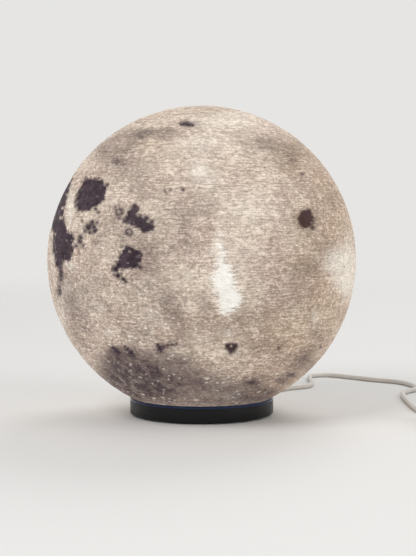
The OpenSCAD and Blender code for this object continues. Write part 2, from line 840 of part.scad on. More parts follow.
// The rocker as it is when the lamp is on: its end towards the lamp is down
module switch_rocker() {
    half = rocker_l / 2;
    rise = half * tan(rocker_swing / 2);
    color("#c9c6bf")
    translate(switch_at + [0, 0, pivot_z]) rotate([-rocker_swing / 2, 0, 0]) {
        rotate([90, 0, 90]) translate([0, 0, -rocker_w / 2]) linear_extrude(rocker_w) polygon([
            [-half + 1.4, -rocker_keel], [half - 1.4, -rocker_keel],
            [half, rocker_top + rise], [0, rocker_top], [-half, rocker_top + rise]
        ]);
        translate([-rocker_w / 2 - cheek_t, 0, 0]) rotate([0, 90, 0])
            cylinder(d = pin_d, h = rocker_w + 2 * cheek_t);
    }
}

module switch_contacts() {
    color("#c9a650")
    translate(switch_at + [0, 0, switch_floor]) for (s = [0, 1]) mirror([0, s, 0]) {
        translate([-3, 1, 0]) cube([4, contact_at - 1, contact_t]);
        translate([-3, contact_at - contact_t, 0])
            cube([3.2, contact_t, switch_split + wire_r - switch_floor]);
    }
}

module switch_wires() {
    color("#b23b2e")
    translate(switch_at + [0, 0, switch_split]) {
        translate([switch_wire_x, switch_l / 2 - cord_hold, 0]) rotate([90, 0, 0])
            cylinder(r = wire_r, h = switch_l - 2 * cord_hold);
        for (s = [0, 1]) mirror([0, s, 0])
            translate([-switch_wire_x, switch_l / 2 - cord_hold, 0]) rotate([90, 0, 0])
                cylinder(r = wire_r, h = switch_l / 2 - cord_hold - contact_at);
    }
}

module switch_screws() {
    color("#b9bcc0")
    translate(switch_at) at_switch_screws() translate([0, 0, switch_head_z]) screw(
        switch_head_r, switch_head_h, switch_screw_r, switch_split + switch_screw_bite - switch_head_z, false
    );
}

module plug_body() {
    color("#e0ddd6")
    translate(plug_at) {
        rotate([-90, 0, 0]) cylinder(r1 = cord_r + 0.6, r2 = plug_h / 2 - 0.4, h = plug_tail_l + cut);
        translate([0, plug_tail_l + plug_l / 2, -plug_h / 2]) round_block([plug_w, plug_l, plug_h], 2.5);
    }
}

module plug_shell() {
    hole = [2.2, 2.5];
    color("#c3c6ca")
    translate([plug_at[0], plug_front, plug_at[2]]) difference() {
        translate([-shell_size[0] / 2, 0, -shell_size[2] / 2]) cube(shell_size);
        translate([-shell_size[0] / 2 + shell_t, -cut, -shell_size[2] / 2 + shell_t])
            cube([shell_size[0] - 2 * shell_t, shell_size[1] + 2 * cut, shell_size[2] - 2 * shell_t]);
        for (s = [-1, 1]) translate([s * 3 - hole[0] / 2, 6, -shell_size[2]]) cube([hole[0], hole[1], 2 * shell_size[2]]);
    }
}

module plug_tongue() {
    color("#f0efe9")
    translate([plug_at[0] - tongue_size[0] / 2, plug_front, tongue_z]) cube(tongue_size);
}

module plug_contacts() {
    contact = [1, 8, 0.15];
    color("#d9b24a")
    for (x = [-3.5, -1, 1, 3.5]) translate([plug_at[0] + x - contact[0] / 2, plug_front + tongue_size[1] - contact[1] - 0.5, tongue_z - contact[2]])
        cube(contact);
}

base_housing();
base_plate();
plate_screws();
rubber_feet();
glide_ring();
light_post();
post_washer();
post_nut();
heat_sink();
led_board();
led_chips();
led_board_screws();
diffuser();
driver_board();
driver_board_screws();
driver_capacitors();
driver_inductor();
driver_chip();
wire_terminal();
supply_wires();
positive_wire();
negative_wire();
strain_relief();
turn_ring();
moon_globe();
globe_collar();
lead_cord();
switch_cord();
plug_cord();
cord_coil();
coil_tie();
switch_case_bottom();
switch_case_top();
switch_rocker();
switch_contacts();
switch_wires();
switch_screws();
plug_body();
plug_shell();
plug_tongue();
plug_contacts();
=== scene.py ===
import json
import math
import random

import bmesh
import bpy
import numpy as np
from mathutils import Euler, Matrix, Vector, noise


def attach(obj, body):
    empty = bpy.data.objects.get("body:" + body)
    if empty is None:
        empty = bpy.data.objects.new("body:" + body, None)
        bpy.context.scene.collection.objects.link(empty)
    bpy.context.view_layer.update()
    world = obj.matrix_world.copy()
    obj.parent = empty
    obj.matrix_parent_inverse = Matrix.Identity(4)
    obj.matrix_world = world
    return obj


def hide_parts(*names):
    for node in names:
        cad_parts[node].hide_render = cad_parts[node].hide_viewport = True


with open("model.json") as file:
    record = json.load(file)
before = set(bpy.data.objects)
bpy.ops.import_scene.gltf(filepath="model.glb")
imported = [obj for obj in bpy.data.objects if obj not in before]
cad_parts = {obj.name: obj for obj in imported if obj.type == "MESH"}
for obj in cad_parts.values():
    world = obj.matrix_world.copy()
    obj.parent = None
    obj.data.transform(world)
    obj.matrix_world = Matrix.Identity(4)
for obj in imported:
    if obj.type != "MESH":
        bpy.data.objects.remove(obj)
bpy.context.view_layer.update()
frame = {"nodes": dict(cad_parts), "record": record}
mm = 0.001
print("frame loaded")

# the camera, where the photograph was taken from
cameraSettings = {
    "place": (0, -0.9112, 0.1392),
    "pitchDown": 0.055,  # radians
    "turnRight": 0.0045,
    "lens": 90.65,
    "sensor": 36,
    "imageSize": (416, 556),
}


def addCamera(s):
    data = bpy.data.cameras.new("camera")
    data.lens = s["lens"]
    data.sensor_fit = "VERTICAL"
    data.sensor_height = s["sensor"]
    data.clip_start = 0.01
    camera = bpy.data.objects.new("camera", data)
    bpy.context.scene.collection.objects.link(camera)
    camera.location = s["place"]
    camera.rotation_euler = (math.pi / 2 - s["pitchDown"], 0, -s["turnRight"])
    bpy.context.scene.camera = camera
    return camera


camera = addCamera(cameraSettings)
cameraTurn = camera.rotation_euler.to_matrix()
focalPixels = cameraSettings["lens"] / cameraSettings["sensor"] * cameraSettings["imageSize"][1]
print("camera set")


def addNode(tree, kind, inputs=None, **settings):
    node = tree.nodes.new(kind)
    for key, value in settings.items():
        setattr(node, key, value)
    for socket, value in (inputs or {}).items():
        if isinstance(value, bpy.types.NodeSocket):
            tree.links.new(value, node.inputs[socket])
        else:
            node.inputs[socket].default_value = value
    return node


def linear(red, green, blue):
    # a colour as it is read from a picture, 0 to 255, as the shader wants it
    values = []
    for c in (red, green, blue):
        c = c / 255
        values.append(c / 12.92 if c <= 0.04045 else ((c + 0.055) / 1.055) ** 2.4)
    return (*values, 1)


def mixColour(tree, factor, first, second):
    node = addNode(tree, "ShaderNodeMix", {0: factor, 6: first, 7: second}, data_type="RGBA")
    return node.outputs[2]


def calculate(tree, operation, first, second=0.0, third=0.0):
    node = addNode(tree, "ShaderNodeMath", {0: first, 1: second, 2: third}, operation=operation)
    return node.outputs[0]


def ramp(tree, value, low, high, outLow=0.0, outHigh=1.0, smooth=False):
    kind = "SMOOTHSTEP" if smooth else "LINEAR"
    inputs = {"Value": value, "From Min": low, "From Max": high, "To Min": outLow, "To Max": outHigh}
    return addNode(tree, "ShaderNodeMapRange", inputs, interpolation_type=kind).outputs["Result"]


def speckle(tree, place, size, detail=2.0, roughness=0.5, stretch=(1, 1, 1)):
    # noise with features about this size, in metres, stretched along the axes
    scaled = addNode(tree, "ShaderNodeMapping", {"Vector": place, "Scale": stretch}).outputs[0]
    inputs = {"Vector": scaled, "Scale": 1 / size, "Detail": detail, "Roughness": roughness}
    return addNode(tree, "ShaderNodeTexNoise", inputs).outputs[0]


def objectPlace(tree):
    return addNode(tree, "ShaderNodeTexCoord").outputs["Object"]


def newFinish(name, colour, roughness, metallic=0.0):
    finish = bpy.data.materials.new(name)
    finish.use_nodes = True
    shader = finish.node_tree.nodes["Principled BSDF"]
    shader.inputs["Base Color"].default_value = colour
    shader.inputs["Roughness"].default_value = roughness
    shader.inputs["Metallic"].default_value = metallic
    return finish, finish.node_tree, shader


def addBump(tree, shader, height, strength, distance):
    bump = addNode(tree, "ShaderNodeBump", {"Strength": strength, "Distance": distance, "Height": height})
    tree.links.new(bump.outputs[0], shader.inputs["Normal"])


def plainFinish(name, s):
    # colour, roughness and relief that vary a little over the piece
    finish, tree, shader = newFinish(name, linear(*s["colour"]), s["roughness"], s.get("metallic", 0.0))
    place = objectPlace(tree)
    stretch = s.get("stretch", (1, 1, 1))
    broad = speckle(tree, place, s.get("patchSize", 0.012), 3.0, 0.55, stretch)
    fine = speckle(tree, place, s.get("grainSize", 0.0006), 2.0, 0.6, stretch)
    shift = s.get("shift", 0.12)
    tones = linear(*s["colour"])[:3]
    dark = [c * (1 - shift) for c in tones] + [1]
    light = [min(1, c * (1 + shift)) for c in tones] + [1]
    tone = calculate(tree, "MULTIPLY_ADD", broad, 0.6, calculate(tree, "MULTIPLY", fine, 0.4))
    colour = mixColour(tree, ramp(tree, tone, 0.35, 0.65), dark, light)
    tree.links.new(colour, shader.inputs["Base Color"])
    spread = s.get("roughnessSpread", 0.08)
    rough = ramp(tree, broad, 0.3, 0.7, s["roughness"] - spread, s["roughness"] + spread)
    tree.links.new(rough, shader.inputs["Roughness"])
    addBump(tree, shader, fine, s.get("grain", 0.15), 0.0001)
    shader.inputs["Specular IOR Level"].default_value = s.get("specular", 0.5)
    shader.inputs["Coat Weight"].default_value = s.get("coat", 0.0)
    shader.inputs["Coat Roughness"].default_value = 0.1
    return finish


leadSettings = {
    "diameter": 3.4,
    # from the base to the switch, in millimetres
    "toSwitch": [
        (22.4, 38.9, 5.1), (29.4, 50.92, 5.1), (33, 57.5, 4.7), (37.5, 66, 3.4), (42, 75, 2.2),
        (47, 84.5, 1.75), (52, 94.5, 1.75), (57.5, 104.5, 1.75), (64.5, 113.5, 1.75),
        (72.5, 119, 1.75), (79, 124.5, 1.75), (82.5, 134, 1.75), (83.5, 146, 1.75),
        (83.8, 157, 1.75), (84, 168, 1.75), (84, 177, 1.75), (85.4, 182.9, 1.75),
        (89.4, 187.5, 1.75), (94.8, 189.8, 1.75), (100.8, 189.4, 1.75), (106, 186.4, 1.75),
        (113.2, 179.4, 1.75), (122, 171, 1.75), (130, 163, 1.75), (138.5, 156, 1.75),
        (147, 149.5, 1.75), (153.5, 140.5, 1.75), (157, 129.5, 1.75), (158.5, 117, 1.75),
        (156.5, 105.5, 1.75), (150, 97, 1.75), (145, 88, 1.75), (143, 77, 1.75), (142, 65, 1.75),
        (141.5, 52, 1.75), (141.5, 38, 1.75), (141.5, 24, 1.75), (142, 10, 1.75),
        (143.5, -1, 1.75), (146, -10, 2.4), (148.5, -17.5, 3.8), (150, -26, 5), (150, -30, 5),
    ],
    # from the switch to the coil
    "toCoil": [
        (150, -80, 5), (150, -84, 5), (150.3, -88.5, 4.6), (151.6, -93, 3.8), (154.5, -97.3, 3),
        (159, -100.4, 2.5), (164.5, -101.4, 2.4), (171, -101.4, 2.4), (178.5, -101.4, 2.4),
    ],
    # from the coil down into the plug
    "toPlug": [
        (208.4, -73, 9.2), (208.4, -66, 8.4), (208.4, -60, 6.5), (208.4, -54.5, 4.7),
        (208.4, -49, 4), (208.4, -43, 4),
    ],
    "coilMiddle": (186, -79),
    "coilRadii": (22.4, 19.0, 15.6),
    "coilHeights": (2.4, 5.8, 9.2),
    "coilTurns": 7.25,
    "coilStep": 22.5,  # degrees between points
}


def coilPlace(angle, s):
    # the lead goes in turn by turn, up a layer, out again and up once more, as the angle grows
    outer, middle, inner = s["coilRadii"]
    low, mid, high = s["coilHeights"]
    radiusStops = [(0, outer), (285, outer), (330, middle), (645, middle), (690, inner), (1365, inner),
                   (1410, middle), (1725, middle), (1770, outer), (2085, outer), (2140, middle),
                   (2290, middle), (2345, outer), (2700, outer)]
    heightStops = [(0, low), (1010, low), (1050, mid), (2085, mid), (2130, high), (2700, high)]
    r = np.interp(angle, *zip(*radiusStops))
    z = np.interp(angle, *zip(*heightStops))
    turn = math.radians(angle - 90)
    return (s["coilMiddle"][0] + r * math.cos(turn), s["coilMiddle"][1] + r * math.sin(turn), z)


def addCord(name, points, diameter):
    curve = bpy.data.curves.new(name, "CURVE")
    curve.dimensions = "3D"
    curve.resolution_u = 6
    curve.bevel_depth = diameter / 2 * mm
    curve.bevel_resolution = 5
    curve.use_fill_caps = True
    spline = curve.splines.new("BEZIER")
    spline.bezier_points.add(len(points) - 1)
    for knot, place in zip(spline.bezier_points, points):
        knot.co = Vector(place) * mm
        knot.handle_left_type = "AUTO"
        knot.handle_right_type = "AUTO"
    cord = bpy.data.objects.new(name, curve)
    bpy.context.scene.collection.objects.link(cord)
    return cord


coilPoints = [
    coilPlace(a, leadSettings)
    for a in np.arange(0, leadSettings["coilTurns"] * 360 + 1, leadSettings["coilStep"])
]
leadToSwitch = addCord("leadToSwitch", leadSettings["toSwitch"], leadSettings["diameter"])
coiledPoints = leadSettings["toCoil"] + coilPoints + leadSettings["toPlug"]
leadToPlug = addCord("leadToPlug", coiledPoints, leadSettings["diameter"])
sheathSettings = {
    "colour": (216, 211, 203),
    "roughness": 0.42,
    "grainSize": 0.0004,
    "grain": 0.08,
    "shift": 0.05,
}
sheath = plainFinish("cordSheath", sheathSettings)
cordNodes = ((leadToSwitch, ("lead_cord",)), (leadToPlug, ("switch_cord", "plug_cord", "cord_coil")))
for cord, nodes in cordNodes:
    cord.data.materials.append(sheath)
    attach(cord, "base")
    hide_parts(*nodes)
print("lead laid")


globeSettings = {
    "radius": 100,
    "wall": 2.4,
    "mouthRadius": 40,
    "middleHeight": 100.63,
    "moonTurn": (1.84, -14.9, 156.66),  # degrees about X, Y and Z
    "segments": (336, 184),
    "innerSegments": (96, 54),
    # smaller faces along the shores: cuts, distance from the shore, and 1 in front or -1 behind
    "shoreCuts": ((3, 2.35, 1), (1, 1.0, -1)),
    "sunk": 0.2,  # the whole surface, which leaves room for the craters' lips
    "seaDepth": 0.45,
    "roughDepth": 0.26,
    "roughScale": 19,
    "craters": 700,
    "craterSizes": (1.6, 8.5),  # radii, small ones being far more common
    "largestInView": 3.4,  # the photograph shows only small craters
    "lipHeight": 0.08,
    "bowlDepth": 0.2,
    "deepest": 1.6,
    "plainBelow": 11,  # height under which there is no relief, because of the mouth
    "fadeHeight": 5,
    "edgeFade": 6,  # how fast what the photograph shows fades past the globe's edge
}
shoreSettings = {
    "pixelSize": 0.645,  # millimetres on the globe for one pixel of the photograph
    "blend": 0.9,  # pixels over which neighbouring circles flow together
    "ragged": (0.2, 0.25, 1.5),  # share of a circle's radius, least and most
    "ringRagged": 0.5,
    # front seas end a little past the globe's edge and far seas a little over it: from where, how fast
    "pastEdge": (0.02, 30),
    "overEdge": (0.01, 150),
    "farFrom": 0.2,
    "farBlend": 1.2,  # degrees
    "farRagged": 2.4,
    "farSoftness": 0.6,  # less makes the far shores softer
    "lobes": (9, 2.2),  # how close together, and how deep in degrees
}

# Dark seas on the side that the photograph shows: x, y and radius in its pixels
frontSeas = [
    (88, 185.5, 8), (96, 185.5, 7.8), (99.5, 190.5, 7), (98.5, 196, 6.4), (91.5, 190, 11),
    (86.5, 195, 10.2), (84, 201, 8.6), (83, 204, 7.2), (91, 199, 8), (79.3, 204, 4.4),
    (98.5, 201, 2.6), (60, 231, 6.5), (60, 240, 8.2), (66, 239, 7.2), (60, 248, 8.2),
    (66, 249.5, 6.8), (59, 256, 5.6), (66, 256, 5), (58, 263, 3.8), (59.5, 225, 5.2),
    (58.6, 219, 4.4), (58.4, 213, 4.1), (59, 207.5, 3.6), (60.6, 202, 3.2), (62, 197, 2.7),
    (63.6, 192, 2.4), (65.6, 187, 2.1), (68, 182, 1.8), (59.4, 268, 2.2), (60.2, 272, 1.9),
    (60.5, 276, 1.6), (60.2, 280, 1.3), (58.6, 287, 1.3), (58.3, 291, 1.8), (59.4, 294, 1.2),
    (55.5, 226, 6), (56.5, 219, 5.2), (58.4, 211, 5), (60.2, 204, 4.8), (62.4, 197, 4.2),
    (64.8, 190.5, 3.6), (67.2, 184.5, 3), (69.8, 178.5, 2.4), (72.4, 173, 1.8), (81.6, 220.7, 1.3),
    (91.7, 221.7, 2.2), (87.8, 227.4, 3), (93.2, 226.5, 2.6), (84.5, 231.2, 1.7), (95, 230.3, 2),
    (89.3, 232.2, 1.6), (97.9, 212.1, 1), (90.4, 224.4, 2), (96.6, 222.5, 1.2), (80.2, 237, 2.3),
    (78.6, 241.4, 2.6), (75.9, 246, 1.5), (82.6, 246, 1.3), (107, 184.4, 1.6), (134.5, 208.5, 4.3),
    (131.5, 214.5, 5), (133.5, 220, 6.4), (127.6, 219.5, 4), (140, 223, 6.4), (146.5, 226.5, 5.2),
    (146, 217.6, 2.6), (151.4, 227.5, 3), (151.6, 221.6, 1.8), (143.5, 230, 2.8), (123.8, 220.8, 1.9),
    (126.6, 233.4, 1.6), (95, 208.6, 1.4), (93.6, 232, 1.2), (114.9, 206.6, 1.2), (115.6, 210, 0.9),
    (117, 214, 1), (118.2, 217.6, 1.2), (121.8, 213, 1.4), (122, 209.5, 0.8), (128, 254, 7.2),
    (136, 256, 6.6), (133, 262, 6.6), (126, 263, 6), (119.5, 264, 4.6), (115.6, 269.5, 3.2),
    (117.5, 275.5, 2.6), (122.6, 279.6, 2.2), (125.4, 282, 1.4), (139.4, 267.5, 2.2),
    (121, 257.5, 3.2), (306.5, 218.5, 7.4), (306.8, 214.2, 5.2), (306, 223.5, 5.4), (313, 227.6, 1.8),
    (300, 219, 1.4), (227.6, 346.6, 2.7), (235.2, 346.6, 2.7), (231.4, 348.6, 4), (231, 352.6, 2),
    (229.2, 347.6, 3), (233.8, 347.6, 3), (181, 123.8, 1.6), (183.6, 123.4, 2), (186.6, 123.2, 2.4),
    (189.6, 123.7, 2.2), (192.6, 124.4, 1.4), (182.9, 189.6, 1.9), (301.6, 173.6, 0.9),
    (303.2, 174, 0.9), (159.8, 349, 2.3), (164.6, 190.6, 0.9), (166.8, 194, 0.7), (170.6, 189.4, 0.7),
    (278.6, 348, 1.2), (321, 347, 0.9), (115.8, 350.8, 2.2), (112.8, 348.4, 1.6), (118.4, 353.2, 1.5),
    (131, 353.4, 2.2), (127.4, 349.8, 1.6), (134, 356.2, 1.4), (124.4, 347, 1), (157.6, 345.2, 1.7),
    (163.4, 347.4, 1.6), (167.4, 346, 1.2), (172, 345, 1.1), (176.6, 344.4, 0.9), (160.8, 352.2, 1.3),
]
# Rings, such as flooded craters: x, y, radius and half their width
frontRings = [(128.4, 232.2, 3.2, 1), (118.6, 212, 3, 0.7), (117, 270.5, 5.4, 0.6)]
# Dry land inside the seas: x, y and radius
frontIslands = [
    (231.8, 346.4, 0.75), (60.4, 217.5, 1.4), (63.3, 213.6, 1), (61.8, 208, 0.9), (119.6, 270, 1.6),
    (128.6, 251, 0.8),
]
# Seas that it doesn't show: latitude, longitude and radius in degrees
farSeas = [
    (28, 17.5, 9.8), (33, -16, 16), (9, 31, 9.5), (12, 24, 7), (3, 37, 7), (-2, 29, 4.5), (14, 39, 4),
    (-15.2, 35.5, 5), (-5, 50, 7), (-12, 51, 6), (1, 51, 5), (-21, -16.6, 8), (-12, -9, 4),
    (-28, -14, 5), (-24.4, -38.6, 6), (18, -57, 12), (30, -52, 9), (8, -48, 9), (-3, -42, 8),
    (44, -50, 7), (6, -30, 7), (-10, -24, 5), (13.3, 3.6, 3.2), (2.4, 1.7, 2.4), (57, -42, 2.8),
    (58, -29, 3), (57, -16, 3.2), (56, -4, 3), (55, 8, 3), (56, 20, 3.2), (53, 32, 2.6), (38, 29, 4),
    (44, 26, 2.4), (25, 29, 3), (-19.4, -92.8, 3.4), (-33.7, 163.5, 3.2), (-36, 151, 2.2),
    (-47, 175, 2), (-13, -8, 3),
]
# Young craters with rays on those sides: latitude, longitude, size in degrees and number of rays
rayCraters = [
    (-43.3, -11.4, 4.5, 17), (9.6, -20.1, 3, 13), (8.1, -38, 2, 11), (23.7, -47.5, 1.6, 9),
    (16, 46.8, 1.6, 9), (-8.9, 61, 1.8, 9), (-40, -150, 2.4, 11), (-12, -128, 2, 9),
    (-56, 160, 2.2, 11), (38, -140, 2, 9),
]
# Soft dark patches: x, y, half width, half height and strength. Most are darker grey print; those along
# the bottom edge paint the shade where the globe darkens towards the base
frontDarkPrintAndShade = [
    (114, 351.5, 6, 4, 0.8), (129, 353, 8, 5, 0.8), (159, 348, 5, 3.5, 0.6),
    (172, 344.5, 9, 2.6, 0.5), (136, 368, 27, 17, 0.92), (156, 372, 22, 15, 0.8),
    (115, 361, 13, 11, 0.95), (150, 390, 30, 12, 0.85), (181, 361, 14, 7, 0.7),
    (196, 378, 26, 14, 0.7), (140, 330, 16, 9, 0.35), (168, 312, 13, 13, 0.4),
    (186, 330, 16, 9, 0.35), (253, 383.5, 8, 5, 0.95), (266, 377, 9, 4, 0.5), (282, 381, 7, 4, 0.9),
    (291, 375.5, 7, 3.6, 0.9), (228, 390, 38, 12, 0.75), (300, 365, 16, 9, 0.55),
    (318, 338, 12, 16, 0.35), (262, 350, 30, 12, 0.3), (212, 330, 26, 12, 0.2),
    (118, 140, 16, 10, 0.3), (80, 330, 12, 22, 0.3), (126, 168, 20, 16, 0.25),
    (96.5, 241.8, 3.4, 3, 0.6), (138, 134, 12, 5, 0.55), (165, 131, 12, 5, 0.5),
    (119, 161, 7, 5, 0.5), (104, 152, 12, 9, 0.4), (88, 290, 20, 26, 0.35), (74, 305, 10, 20, 0.25),
    (125, 300, 22, 22, 0.25), (120, 232, 34, 26, 0.3), (150, 255, 16, 26, 0.4),
    (180, 215, 20, 20, 0.35), (160, 290, 24, 18, 0.3), (208, 205, 12, 12, 0.3), (62, 280, 5, 14, 0.5),
    (70, 300, 6, 9, 0.35), (306, 221, 14, 14, 0.45), (332, 200, 10, 12, 0.3), (288, 152, 18, 12, 0.4),
    (262, 143, 18, 8, 0.3), (322, 250, 12, 14, 0.3), (245, 320, 24, 12, 0.35),
    (206, 305, 9, 14, 0.45), (302, 268, 16, 12, 0.4), (186, 245, 16, 20, 0.25),
    (286, 300, 30, 26, 0.25), (140, 176, 24, 16, 0.2), (196, 123, 8, 4, 0.3), (160, 397, 32, 7, 0.6),
    (215, 402.5, 34, 4.6, 0.65), (250, 399, 22, 6, 0.75), (268, 393, 13, 8, 0.8),
    (138, 391, 16, 9, 0.6), (114, 375, 14, 12, 0.8), (170, 385, 24, 12, 0.7), (128, 380, 22, 14, 0.7),
    (186, 345, 18, 3.4, 0.35), (150, 352, 26, 3, 0.3), (141, 137, 5, 2.6, 0.7), (147, 131, 7, 3, 0.6),
    (117, 161, 6, 3.4, 0.6), (126, 150, 11, 4, 0.4), (305, 358, 8, 5, 0.6), (310, 350, 6, 4, 0.4),
    (160, 137, 9, 3.4, 0.4), (132, 143, 6, 3, 0.5), (303, 141, 7, 4, 0.3), (292, 160, 6, 7, 0.4),
    (265, 146, 8, 5, 0.3), (150, 196, 8, 5, 0.3), (168, 300, 7, 6, 0.35), (178, 318, 9, 5, 0.35),
]
# Soft pale patches: most are paler print; the faint column above the hot patch and the halo round it
# paint the glow of the light through the shell
frontPalePrintAndGlow = [
    (200, 171, 7, 6, 1), (199, 170, 14, 12, 0.5), (214, 180, 14, 8, 0.45), (200, 143, 26, 12, 0.5),
    (222, 122, 26, 9, 0.5), (342, 261, 14, 12, 1), (336, 263, 10, 10, 0.8), (344, 281, 10, 9, 1),
    (350, 262, 6, 24, 0.6), (232, 397, 6, 2.2, 0.9), (348, 290, 7, 9, 0.6), (70, 207, 3.4, 20, 0.75),
    (70, 265.5, 4.4, 4, 0.8), (240, 200, 26, 16, 0.35), (262, 215, 20, 12, 0.3),
    (200, 341, 10, 4, 0.35), (315, 317, 4, 7, 0.6), (228, 333, 12, 4, 0.35),
    (231, 396.5, 12, 2.4, 0.6), (180, 349, 6, 4, 0.3), (62, 316, 5, 20, 0.5), (152, 316, 6, 5, 0.5),
    (219, 245, 5, 14, 0.55), (240, 255, 18, 22, 0.25), (222, 280, 15, 18, 0.55),
    (101, 309, 4, 3, 0.6), (66, 288, 4, 5, 0.4), (52, 250, 2, 24, 0.5), (113, 202, 6, 4, 0.35),
    (219.5, 238, 5, 11, 0.5), (211, 251, 6, 5, 0.5), (256, 250, 8, 4, 0.4), (231.6, 349, 10, 8, 0.5),
    (188, 276, 5, 5, 0.4), (185, 308, 4, 6, 0.4), (166, 326, 7, 3, 0.5), (152, 334, 2.4, 7, 0.5),
    (109, 334, 4.4, 4.4, 0.6), (175, 354, 4, 2, 0.5), (174, 370, 6, 3, 0.4),
]
# Warm brown tint
frontTints = [
    (335, 200, 26, 40, 0.7), (325, 300, 26, 46, 0.8), (300, 150, 26, 20, 0.9),
    (318, 240, 22, 24, 0.5), (150, 140, 34, 14, 0.35), (300, 340, 30, 26, 0.8),
    (304, 266, 16, 11, 0.9), (280, 385, 34, 14, 0.8), (292, 158, 10, 13, 0.8), (336, 202, 8, 10, 0.8),
    (322, 180, 8, 14, 0.6), (318, 248, 8, 9, 0.6), (300, 222, 6, 12, 0.9), (215, 110, 30, 4, 0.6),
    (345, 235, 12, 40, 0.4), (270, 322, 22, 14, 0.5), (248, 345, 44, 34, 0.45),
    (200, 330, 40, 30, 0.25), (240, 395, 40, 6, 0.5), (150, 395, 30, 6, 0.3), (306, 219, 9, 11, 0.7),
]
# The hot patch where the light shows through: x, y and radius
hotPatch = [
    (220.5, 248, 2.6), (221, 254, 3.2), (221, 260, 3.9), (221.6, 266, 5.2), (223, 272, 8),
    (223.4, 279, 11.6), (224.4, 286, 9.6), (226, 292, 9), (229.6, 299, 12), (227, 305.5, 8.4),
    (225, 308.5, 5.6),
]


def newPiece(name, bm, finish):
    mesh = bpy.data.meshes.new(name)
    for face in bm.faces:
        face.smooth = True
    bm.to_mesh(mesh)
    bm.free()
    piece = bpy.data.objects.new(name, mesh)
    bpy.context.scene.collection.objects.link(piece)
    mesh.materials.append(finish)
    return piece


def photoPlaces(points):
    # where each point lies in the photograph, in pixels
    local = (points - np.array(cameraSettings["place"])) @ np.array(cameraTurn)
    width, height = cameraSettings["imageSize"]
    across = width / 2 + focalPixels * local[:, 0] / -local[:, 2]
    down = height / 2 - focalPixels * local[:, 1] / -local[:, 2]
    return across, down


def softSum(across, down, patches):
    # soft spots, joined without going past 1
    total = np.zeros_like(across)
    for x, y, halfWidth, halfHeight, strength in patches:
        away = ((across - x) / halfWidth) ** 2 + ((down - y) / halfHeight) ** 2
        # 0.4 of the strength is left at the half width
        total = 1 - (1 - total) * (1 - strength * np.exp(-0.9 * away))
    return total


def globeView(points):
    # direction and distance from the globe's middle, place in the photograph, and how each point faces it
    away = points - np.array([0, 0, globeSettings["middleHeight"] * mm])
    reach = np.linalg.norm(away, axis=1)
    unit = away / reach[:, None]
    toCamera = np.array(cameraSettings["place"]) - points
    toCamera /= np.linalg.norm(toCamera, axis=1)[:, None]
    across, down = photoPlaces(points)
    return unit, reach, across, down, (unit * toCamera).sum(axis=1)


def joined(distances, blend):
    # one distance to circles that flow into each other
    nearest = distances.min(axis=1)
    return nearest - blend * np.log(np.exp((nearest[:, None] - distances) / blend).sum(axis=1))


def fractalField(unit, scale, offset, roughness, octaves):
    # smooth noise over the globe, about -1 to 1
    moved = Vector(offset)
    return np.array([noise.fractal(Vector(u) * scale + moved, roughness, 2.0, octaves) for u in unit])


def seaDistance(unit, across, down, facing, s):
    # millimetres to the nearest shore, below 0 in a sea, and how ragged that shore is
    pixelSize = s["pixelSize"]
    circles = np.array(frontSeas)
    away = np.hypot(across[:, None] - circles[:, 0], down[:, None] - circles[:, 1]) - circles[:, 2]
    share, least, most = s["ragged"]
    ragged = np.clip(circles[away.argmin(axis=1), 2] * share, least, most)
    sea = joined(away, s["blend"]) * pixelSize
    for x, y, r, half in frontRings:
        ring = (np.abs(np.hypot(across - x, down - y) - r) - half) * pixelSize
        ragged[ring < sea] = s["ringRagged"]
        sea = np.minimum(sea, ring)
    for x, y, r in frontIslands:
        sea = np.maximum(sea, (r - np.hypot(across - x, down - y)) * pixelSize)
    start, rise = s["pastEdge"]
    sea += np.clip(-facing - start, 0, 1) * rise
    # the sides that the photograph doesn't show
    far = np.nonzero(facing < s["farFrom"])[0]
    centres = np.array(moonDirections([place[:2] for place in farSeas]))
    angles = np.degrees(np.arccos(np.clip(unit[far] @ centres.T, -1, 1)))
    angles -= np.array([place[2] for place in farSeas])
    closeness, depth = s["lobes"]
    lobes = fractalField(unit[far], closeness, (0, 0, 0), 0.8, 3)
    degreeSize = globeSettings["radius"] * math.pi / 180
    distance = s["farSoftness"] * (joined(angles, s["farBlend"]) + depth * lobes) * degreeSize
    start, rise = s["overEdge"]
    distance += np.clip(facing[far] - start, 0, 1) * rise
    ragged[far] = np.where(distance < sea[far], s["farRagged"], ragged[far])
    sea[far] = np.minimum(sea[far], distance)
    return sea, ragged


raySettings = {
    "uneven": 0.35,  # of the angle between two rays
    "reach": (2.5, 6.5),  # in crater sizes
    "width": (0.011, 0.002),  # at least, and more for each degree of size
    "strength": 0.8,
    "halfSpread": 1.2,  # radians to either side that one ray is worked out for
}


def rayLight(unit, s):
    # bright rays that run out from young craters
    total = np.zeros(len(unit))
    random.seed(4)
    axes = moonDirections([place[:2] for place in rayCraters])
    for axis, (_, _, size, count) in zip(axes, rayCraters):
        side = axis.orthogonal().normalized()
        ahead = axis.cross(side)
        angle = np.degrees(np.arccos(np.clip(unit @ np.array(axis), -1, 1)))
        bearing = np.arctan2(unit @ np.array(side), unit @ np.array(ahead))
        spread = np.sin(np.radians(angle))
        glow = np.exp(-((angle / size) ** 2))
        width = s["width"][0] + s["width"][1] * size
        for i in range(count):
            turned = bearing - (i + random.uniform(-s["uneven"], s["uneven"])) * 2 * math.pi / count
            turned = (turned + math.pi) % (2 * math.pi) - math.pi
            reach = size * random.uniform(*s["reach"])
            ray = np.exp(-((turned * spread / width) ** 2)) * np.exp(-angle / reach)
            ray *= np.abs(turned) < s["halfSpread"]
            glow = np.maximum(glow, s["strength"] * ray)
        total = np.maximum(total, glow)
    return total


